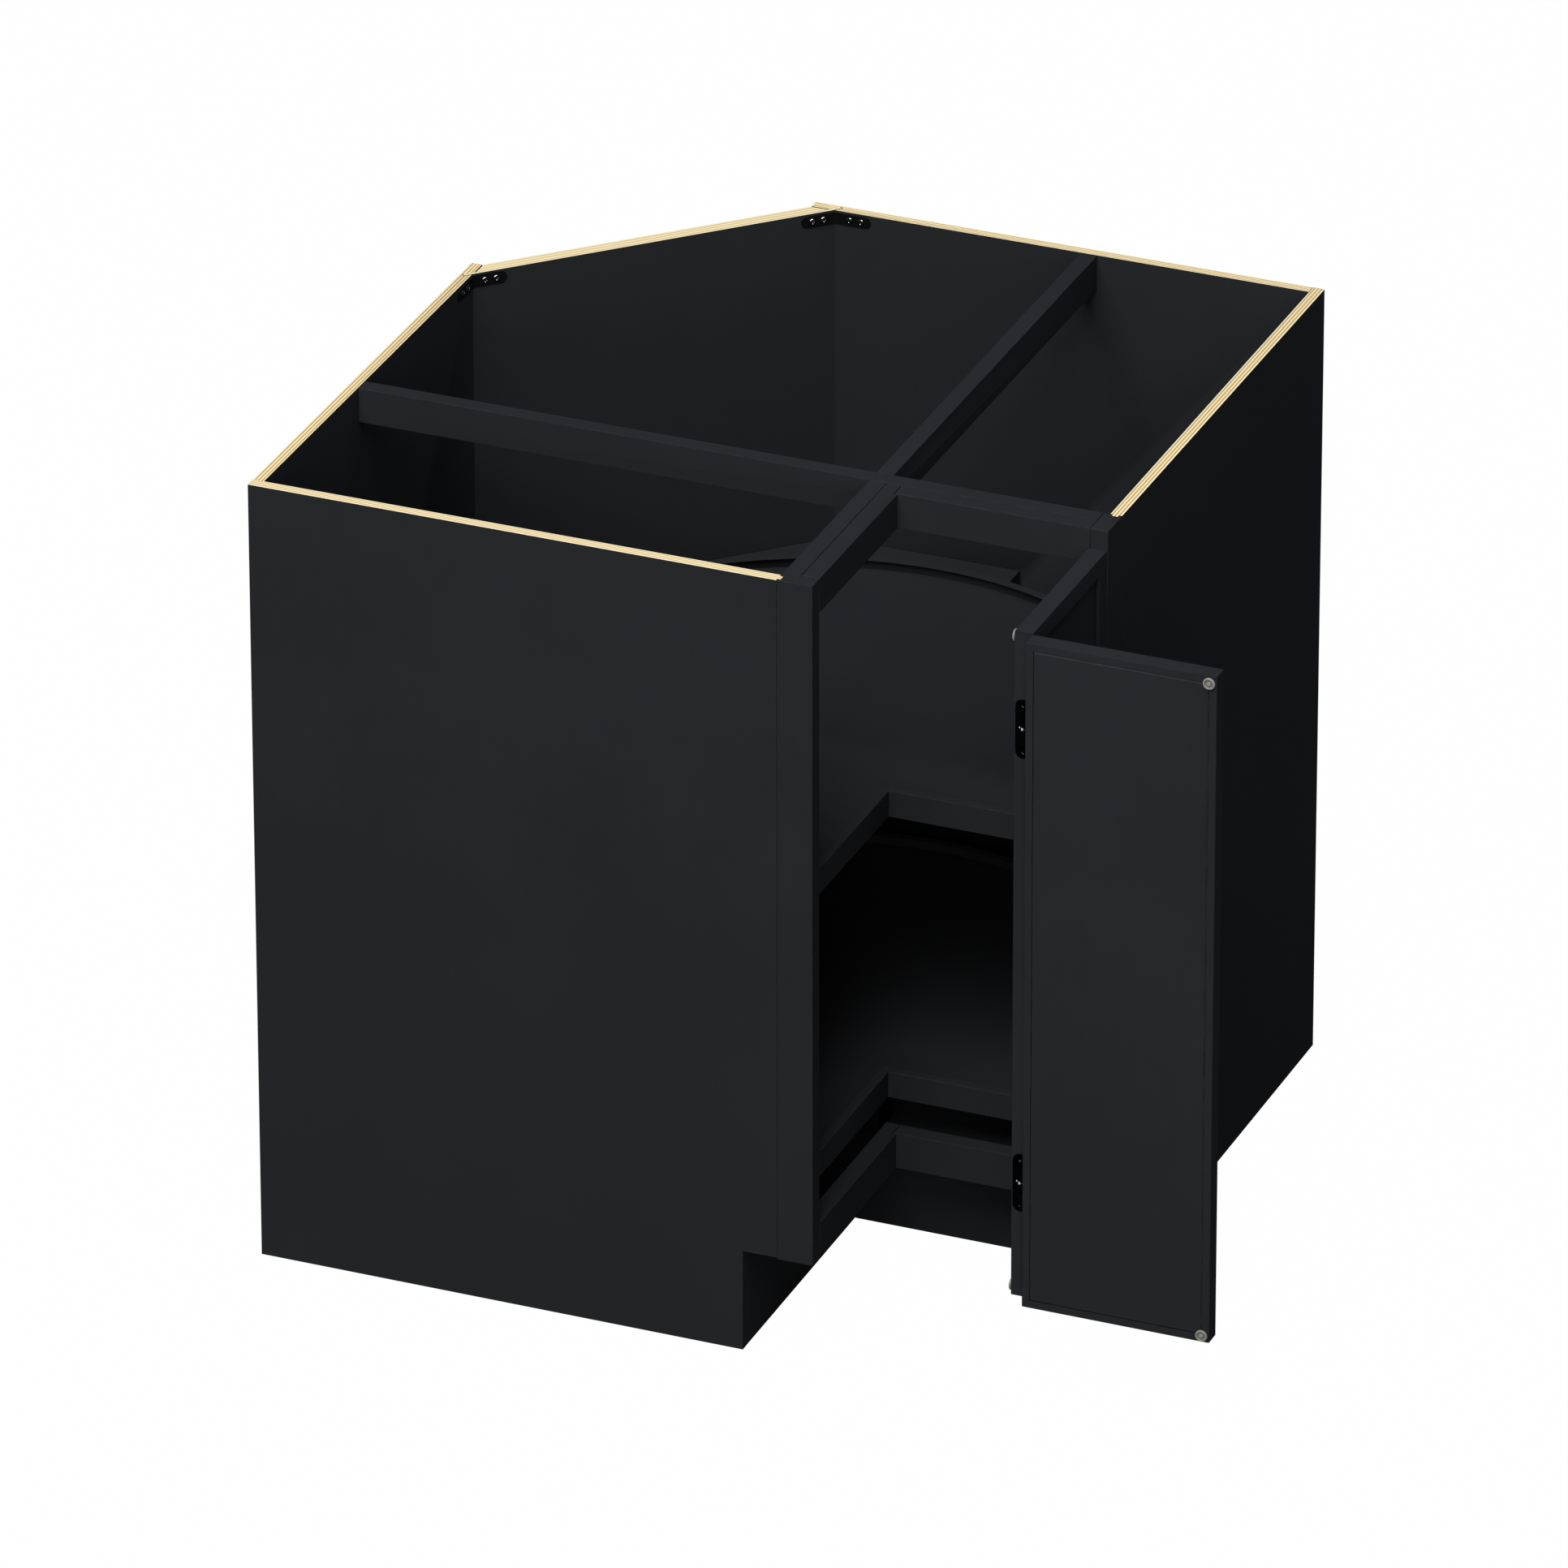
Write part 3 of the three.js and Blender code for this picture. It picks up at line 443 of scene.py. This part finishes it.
# every other board: the way its grain runs and the width of its eased arris in mm
boards = {
    "bottom_deck": ("alongX", 0.4), "fixed_shelf": ("alongX", 0.5),
    "left_toe_board": ("alongY", 0.4), "right_toe_board": ("alongX", 0.4),
    "left_stile": ("standing", 0.7), "right_stile": ("standing", 0.7),
    "left_top_rail": ("alongY", 0.6), "right_top_rail": ("alongX", 0.6),
    "left_bottom_rail": ("alongY", 0.6), "right_bottom_rail": ("alongX", 0.6),
    "left_stretcher": ("alongY", 0.5), "right_stretcher": ("alongX", 0.5),
    "riser_board": ("riser", 0.4), "riser_bearer_front": ("riser", 0.4), "riser_bearer_back": ("riser", 0.4),
    "upper_tray_floor": ("alongX", 0.4), "lower_tray_floor": ("alongX", 0.4),
    "upper_tray_rim": ("alongX", 0.25), "lower_tray_rim": ("alongX", 0.25),
    "upper_tray_left_lip": ("alongY", 0.7), "lower_tray_left_lip": ("alongY", 0.7),
    "upper_tray_right_lip": ("alongX", 0.7), "lower_tray_right_lip": ("alongX", 0.7),
    "right_leaf_hinge_stile": ("standing", 0.5),
    "right_leaf_top_rail": ("alongY", 0.5), "right_leaf_bottom_rail": ("alongY", 0.5),
    "left_leaf_far_stile": ("standing", 0.5),
    "left_leaf_top_rail": ("alongX", 0.5), "left_leaf_bottom_rail": ("alongX", 0.5),
}
for node, (finish, width) in boards.items():
    easedPiece(node, finish, width, 2)
for node in ("right_leaf_far_stile", "left_leaf_hinge_stile"):  # their mortises for the folding hinges stay sharp
    easedPiece(node, "standing", 0.5, 2, longest=True)
for node in ("right_leaf_panel", "left_leaf_panel"):  # thin panels with a plain chamfer all round
    easedPiece(node, "standing", 1.5, 1)
print("boards made")

# pressed and machined steel
steelPieces = {
    "left_corner_bracket": ("blackSteel", 0.3), "right_corner_bracket": ("blackSteel", 0.3),
    "upper_frame_hinge_arm": ("blackSteel", 0.3), "lower_frame_hinge_arm": ("blackSteel", 0.3),
    "upper_frame_hinge_cup": ("blackSteel", 0.15), "lower_frame_hinge_cup": ("blackSteel", 0.15),
    "upper_fold_hinge_left_half": ("darkSteel", 0.2), "lower_fold_hinge_left_half": ("darkSteel", 0.2),
    "upper_fold_hinge_right_half": ("darkSteel", 0.2), "lower_fold_hinge_right_half": ("darkSteel", 0.2),
    "upper_swivel_base": ("zinc", 0.15), "lower_swivel_base": ("zinc", 0.15),
    "upper_swivel_top": ("zinc", 0.15), "lower_swivel_top": ("zinc", 0.15),
    "upper_swivel_balls": ("zinc", 0.0), "lower_swivel_balls": ("zinc", 0.0),
}
for node, (finish, width) in steelPieces.items():
    if width:
        easedPiece(node, finish, width, 1)
    else:
        frame["nodes"][node].data.materials.clear()
        frame["nodes"][node].data.materials.append(finishes[finish])

# the folding hinges' curved links are black; the pin between them is bare metal, shown bright only on its upper part
# as a painted highlight
linkPin = {"x": 828.28, "y": 14.33, "radius": 2.1, "bareFrom": 0.6}  # only the upper part of the pin is bright, a painted highlight where it would catch the light


def foldLinks(node, s):
    bm = mergedCopy(node)
    easeEdges(bm, 0.25, 1)
    pin = at(s["x"], s["y"], 0)
    low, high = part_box(node)
    for face in bm.faces:
        middle = face.calc_center_median()
        away = (Vector((middle.x, middle.y)) - Vector((pin.x, pin.y))).length
        bare = away < mm(s["radius"]) and abs(face.normal.z) < 0.5 and middle.z > low.z + (high.z - low.z) * s["bareFrom"]
        face.material_index = 1 if bare else 0
    finishPiece(camel(node), bm, bodyOfNode[node], [finishes["darkSteel"], finishes["zinc"]], [node])


foldLinks("upper_fold_hinge_links", linkPin)
foldLinks("lower_fold_hinge_links", linkPin)
print("steel made")


def turnedShape(profile, steps):  # profile of [radius, height] in mm, turned about z
    bm = bmesh.new()
    verts = [bm.verts.new((mm(radius), 0, mm(height))) for radius, height in profile]
    edges = [bm.edges.new(pair) for pair in zip(verts, verts[1:])]
    bmesh.ops.spin(bm, geom=verts + edges, cent=(0, 0, 0), axis=(0, 0, 1), angle=2 * pi, steps=steps, use_merge=True)
    bmesh.ops.remove_doubles(bm, verts=bm.verts, dist=1e-6)
    bmesh.ops.recalc_face_normals(bm, faces=bm.faces)
    return bm


# ---- bumpers: a disc with a rolled rim, a shallow ring groove and a raised button

bumperSettings = {"radius": 6.35, "height": 2.1, "rim": 0.7, "grooveIn": 2.3, "grooveOut": 4.5, "grooveDeep": 1.1,
                  "button": 1.5, "steps": 40}


def bumper(node, outward, s):
    low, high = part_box(node)
    centre = (low + high) / 2
    # the profile is [radius, height above the leaf]
    r, h = s["radius"], s["height"]
    profile = [(0, 0), (r - 0.3, 0), (r, 0.4), (r, h - s["rim"] * 1.3), (r - s["rim"] * 0.35, h - s["rim"] * 0.35),
               (r - s["rim"], h), (s["grooveOut"] + 0.25, h), (s["grooveOut"] - 0.35, h - s["grooveDeep"]),
               (s["grooveIn"] + 0.3, h - s["grooveDeep"]), (s["grooveIn"] - 0.1, h - 0.15),
               (s["button"], h - 0.05), (s["button"] * 0.5, h), (0, h)]
    bm = turnedShape(profile, s["steps"])
    turn = Vector((0, 0, 1)).rotation_difference(outward).to_matrix().to_4x4()
    thickness = abs((high - low).dot(outward))
    base = centre - outward * thickness / 2
    # the groove's floor is marked for the painted shade in it
    grooveShade = bm.faces.layers.float.new("edge")
    for face in bm.faces:
        middle = face.calc_center_median()
        away = Vector((middle.x, middle.y)).length * 1000
        face[grooveShade] = 1.0 if s["grooveIn"] - 0.2 < away < s["grooveOut"] - 0.1 and middle.z < mm(h - 0.2) and face.normal.z > 0.3 else 0.0
    bmesh.ops.transform(bm, matrix=Matrix.Translation(base) @ turn, verts=bm.verts)
    finishPiece(camel(node), bm, bodyOfNode[node], [finishes["bumper"]], [node], 60)


for level in ("upper", "lower"):
    bumper(f"right_leaf_{level}_bumper", Vector((-1, 0, 0)), bumperSettings)
    bumper(f"left_leaf_{level}_bumper", Vector((0, -1, 0)), bumperSettings)
print("bumpers made")


# ---- screws: a turned head with a crossed recess cut into it

screwKinds = {
    "pan": {"radius": 3.5, "rise": 1.9, "round": 1.2, "reach": 2.3, "wide": 1.1, "deep": 1.1},
    "flat": {"radius": 2.7, "rise": 0.35, "round": 0.25, "reach": 1.7, "wide": 0.7, "deep": 0.5},
    "euro": {"radius": 3.9, "rise": 0.9, "round": 0.5, "reach": 2.0, "wide": 0.8, "deep": 0.7},
    "wood": {"radius": 3.2, "rise": 1.2, "round": 0.7, "reach": 1.7, "wide": 0.7, "deep": 0.7},
}


def joined(first, second):
    mesh = bpy.data.meshes.new("join")
    second.to_mesh(mesh)
    first.from_mesh(mesh)
    bpy.data.meshes.remove(mesh)


def cutFrom(body, tool):  # body and tool are closed bmeshes; the result is a new mesh
    holders = []
    for name, bm in (("body", body), ("tool", tool)):
        bmesh.ops.recalc_face_normals(bm, faces=bm.faces)
        mesh = bpy.data.meshes.new(name)
        bm.to_mesh(mesh)
        bm.free()
        holder = bpy.data.objects.new(name, mesh)
        bpy.context.scene.collection.objects.link(holder)
        holders.append(holder)
    cut = holders[0].modifiers.new("cut", "BOOLEAN")
    cut.operation, cut.object, cut.solver = "DIFFERENCE", holders[1], "EXACT"
    result = bpy.data.meshes.new_from_object(holders[0].evaluated_get(bpy.context.evaluated_depsgraph_get()))
    for holder in holders:
        mesh = holder.data
        bpy.data.objects.remove(holder)
        bpy.data.meshes.remove(mesh)
    return result


def screwMesh(s):
    radius, rise, soft = s["radius"], s["rise"], s["round"]
    profile = [(0, -0.6), (radius * 0.8, -0.6), (radius, 0), (radius, rise - soft), (radius - soft * 0.35, rise - soft * 0.4),
               (radius - soft * 1.2, rise), (radius * 0.5, rise + soft * 0.12), (0, rise + soft * 0.14)]
    head = turnedShape(profile, 32)
    tool = bmesh.new()
    low, high = rise - s["deep"], rise + 1.0
    # four tapered arms standing round a square middle
    bmesh.ops.create_cube(tool, size=mm(s["wide"]), matrix=Matrix.Translation((0, 0, mm(low + high) / 2)))
    bmesh.ops.scale(tool, vec=(1, 1, (high - low) / s["wide"]), space=Matrix.Translation((0, 0, -mm(low + high) / 2)),
                    verts=tool.verts)
    tool.normal_update()
    sides = [face for face in tool.faces if abs(face.normal.z) < 0.5]
    for face in sides:
        outward = face.normal.copy()
        made = bmesh.ops.extrude_discrete_faces(tool, faces=[face])
        tip = made["faces"][0]
        bmesh.ops.translate(tool, vec=outward * mm(s["reach"] - s["wide"] / 2), verts=tip.verts)
        for vert in tip.verts:
            if vert.co.z < mm(low + high) / 2:
                vert.co -= outward * mm((s["reach"] - s["wide"] / 2) * 0.55)
    bmesh.ops.remove_doubles(tool, verts=tool.verts, dist=1e-7)
    mesh = cutFrom(head, tool)
    for face in mesh.polygons:  # the recess's own faces
        middle = face.center
        inside = Vector((middle.x, middle.y)).length < mm(s["reach"] * 1.02)
        face.material_index = 1 if inside and -0.5 < middle.z * 1000 < rise - 0.04 else 0
    return mesh


screwMeshes = {kind: screwMesh(settings) for kind, settings in screwKinds.items()}


# painted glints on a head, drawn as bare steel: a crescent on its shoulder and the ends of some of its recess's arms,
# set where the lamp would glint, in degrees round the head from its right side
headGlints = {
    "bright": {"crescent": 105, "half": 30, "arms": (0, 180, -90)},
    "leftDull": {"crescent": 0, "half": 0, "arms": (0, 180, -90)},
    "rightDull": {"crescent": 62, "half": 14, "arms": (-90,)},
    "recess": {"crescent": 0, "half": 0, "arms": (0, 180, -90, 90)},
}


def screwFrame(point, outward, turnBy):  # the head's own up is the world's
    up = Vector((0, 0, 1)) if abs(outward.z) < 0.5 else Vector((0, 1, 0))
    right = up.cross(outward)
    turn = Matrix((right, outward.cross(right), outward)).transposed().to_4x4()
    return Matrix.Translation(point) @ turn @ Matrix.Rotation(radians(turnBy), 4, "Z")


def roundTo(angle, other):  # the angle between two directions, in degrees
    return abs((angle - other + 180) % 360 - 180)


# places are [point, outward, turn]
def screws(name, kind, body, finish, paintedHighlight, places):
    bm = bmesh.new()
    s, paintedBright = screwKinds[kind], headGlints[paintedHighlight]
    for point, outward, turnBy in places:
        one = bmesh.new()
        one.from_mesh(screwMeshes[kind])
        # faces that take the painted glints: the chosen recess arms' ends and a crescent on the shoulder
        for face in one.faces:
            middle = face.calc_center_median()
            away, angle = Vector((middle.x, middle.y)).length * 1000, degrees(atan2(middle.y, middle.x))
            if face.material_index == 1:
                bare = away > s["reach"] * 0.57 and any(roundTo(angle, arm) < 40 for arm in paintedBright["arms"])
            else:
                bare = away > s["radius"] * 0.85 and roundTo(angle, paintedBright["crescent"]) < paintedBright["half"] and face.normal.z > 0.2
            face.material_index = 1 if bare else 0
        bmesh.ops.transform(one, matrix=screwFrame(point, Vector(outward), turnBy), verts=one.verts)
        joined(bm, one)
        one.free()
    bm.faces.layers.float.new("edge")
    return finishPiece(name, bm, body, [finishes[finish], finishes["rubbed"]], (), 38)


# reaches along each arm from the bend
bracketScrews = {"wall": (17.5, 30.2), "slope": (12.6, 25.2), "height": 868.3, "sheet": 1.2}
root2 = 2 ** -0.5


def bracketScrewRow(side, s):
    left = side == "left"
    bend = Vector((13.0, 537.576, 0)) if left else Vector((297.424, 822.0, 0))
    along = Vector((root2, root2, 0)) if left else Vector((-root2, -root2, 0))
    wallRun, wallOut = Vector((0, -1, 0)) if left else Vector((1, 0, 0)), Vector((1, 0, 0)) if left else Vector((0, -1, 0))
    # the slope arm's heads get the bright painted glints, the wall arms' heads dimmer ones
    arms = (("wall", wallRun, wallOut, side + "Dull"), ("slope", along, Vector((root2, -root2, 0)), "bright"))
    for arm, direction, outward, paintedHighlight in arms:
        places = []
        for reach in s[arm]:
            spot = bend + direction * reach + outward * s["sheet"]
            places.append((at(spot.x, spot.y, s["height"]), outward, 0))
        screws(f"{side}Bracket{arm.capitalize()}Screws", "pan", "cabinet", "blackScrew", paintedHighlight, places)


for side in ("left", "right"):
    bracketScrewRow(side, bracketScrews)

# the folding hinges' plates stand in the leaves' ends; a screw at each end and a bare rivet by the links
foldHinges = {"screwReach": 25.7, "sink": 0.2, "foldX": 835.0, "foldY": 21.05, "middle": 9.525,
              "rivet": (822.3, 1.5), "rivetRadius": 1.0, "rivetRise": 0.4}


def foldHingeDetail(level, s):
    low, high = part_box(f"{level}_fold_hinge_right_half")
    z = (low.z + high.z) * 500
    rightFace, leftFace = s["foldY"] + 0.4 + s["sink"], s["foldX"] + 0.4 + s["sink"]
    middleX, middleY = s["foldX"] - s["middle"], s["foldY"] - s["middle"]
    ends = (z - s["screwReach"], z + s["screwReach"])
    screws(f"{level}FoldHingeRightScrews", "flat", "right_leaf", "darkSteel", "recess",
           [(at(middleX, rightFace, end), (0, -1, 0), 8) for end in ends])
    screws(f"{level}FoldHingeLeftScrews", "flat", "left_leaf", "darkSteel", "recess",
           [(at(leftFace, middleY, end), (-1, 0, 0), 20) for end in ends])
    rivetX, rivetUp = s["rivet"]
    rivet = turnedShape([(0, -0.2), (s["rivetRadius"], -0.2), (s["rivetRadius"], s["rivetRise"] * 0.5),
                         (s["rivetRadius"] * 0.6, s["rivetRise"]), (0, s["rivetRise"])], 16)
    bmesh.ops.transform(rivet, matrix=screwFrame(at(rivetX, rightFace, z + rivetUp), Vector((0, -1, 0)), 0),
                        verts=rivet.verts)
    finishPiece(f"{level}FoldHingeRivet", rivet, "right_leaf", [finishes["zinc"]])


for level in ("upper", "lower"):
    foldHingeDetail(level, foldHinges)

# frame hinges: two screws through each cup's ears into the leaf and two through the arm's plate into the stile
frameHinges = {"ear": 22.5, "earY": 200.9, "plateY": 246.0, "plateReach": 15.0}


def frameHingeDetail(level, s):
    cup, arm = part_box(f"{level}_frame_hinge_cup"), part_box(f"{level}_frame_hinge_arm")
    z = (cup[0].z + cup[1].z) * 500
    cupX, armX = (box[0].x * 1000 + sheet["originX"] for box in (cup, arm))
    screws(f"{level}HingeCupScrews", "flat", "right_leaf", "blackScrew", "recess",
           [(at(cupX, s["earY"], z + side * s["ear"]), (-1, 0, 0), 12 * side) for side in (-1, 1)])
    screws(f"{level}HingeArmScrews", "euro", "cabinet", "blackScrew", "recess",
           [(at(armX, s["plateY"], z + side * s["plateReach"]), (-1, 0, 0), 25 * side) for side in (-1, 1)])


for level in ("upper", "lower"):
    frameHingeDetail(level, frameHinges)
print("screws made")


# ---- studio

studio = {"floor": 60.0, "floorColour": 0.15, "floorGlow": 0.992, "world": 0.05}
# where each lamp stands, its size, its power and its tint; all of them point at the cabinet's middle
lamps = {
    "keyLamp": ((0.1, -4.6, 7.2), 5.5, 862.0, (1.0, 1.0, 1.0)),
    "sideLamp": ((3.2, 0.6, 6.0), 3.5, 60.0, (0.90, 0.93, 1.0)),
    "frontLamp": ((2.2, -6.2, 2.6), 3.0, 122.0, (0.98, 0.99, 1.0)),
}


def plainWhite(name, diffuse, share):
    f = Finish(name)
    path = [f.node("ShaderNodeLightPath", out=which) for which in ("Is Camera Ray", "Is Glossy Ray", "Is Transmission Ray")]
    seen = path[0].maths("MINIMUM", path[0] + path[1] + path[2], 1.0)
    white = f.node("ShaderNodeEmission", {}, {"Color": (1, 1, 1), "Strength": 1.0})
    matt = f.node("ShaderNodeBsdfDiffuse", {}, {"Color": diffuse})
    both = f.node("ShaderNodeMixShader", {}, {0: seen * share, 1: matt, 2: white})
    output = f.tree.nodes["Material Output"]
    f.tree.links.new(both.socket, output.inputs["Surface"])
    return f.material


def makeStudio(s):
    bm = bmesh.new()
    bmesh.ops.create_grid(bm, x_segments=1, y_segments=1, size=s["floor"])
    mesh = bpy.data.meshes.new("studioFloor")
    bm.to_mesh(mesh)
    bm.free()
    floor = bpy.data.objects.new("studioFloor", mesh)
    bpy.context.scene.collection.objects.link(floor)
    mesh.materials.append(plainWhite("floorWhite", (s["floorColour"],) * 3, s["floorGlow"]))
    floor.location.z = -0.0005

    world = bpy.data.worlds.new("studioWorld")
    bpy.context.scene.world = world
    world.use_nodes = True
    tree = world.node_tree
    background = tree.nodes["Background"]
    path = tree.nodes.new("ShaderNodeLightPath")
    seen = path.outputs["Is Camera Ray"]
    for which in ("Is Glossy Ray", "Is Transmission Ray"):
        either = tree.nodes.new("ShaderNodeMath")
        either.operation = "MAXIMUM"
        tree.links.new(seen, either.inputs[0])
        tree.links.new(path.outputs[which], either.inputs[1])
        seen = either.outputs[0]
    level = tree.nodes.new("ShaderNodeMapRange")
    tree.links.new(seen, level.inputs["Value"])
    level.inputs["To Min"].default_value = s["world"]
    level.inputs["To Max"].default_value = 1.0
    tree.links.new(level.outputs["Result"], background.inputs["Strength"])
    background.inputs["Color"].default_value = (1, 1, 1, 1)

    for name, (where, size, power, tint) in lamps.items():
        data = bpy.data.lights.new(name, "AREA")
        data.shape, data.size, data.energy, data.color = "SQUARE", size, power, tint
        lamp = bpy.data.objects.new(name, data)
        lamp.location = where
        lamp.rotation_mode = "QUATERNION"
        lamp.rotation_quaternion = (Vector(where) - Vector((0, 0, 0.45))).to_track_quat("Z", "Y")
        bpy.context.scene.collection.objects.link(lamp)
    bpy.context.scene.view_settings.view_transform = "Standard"


makeStudio(studio)
print("studio made")
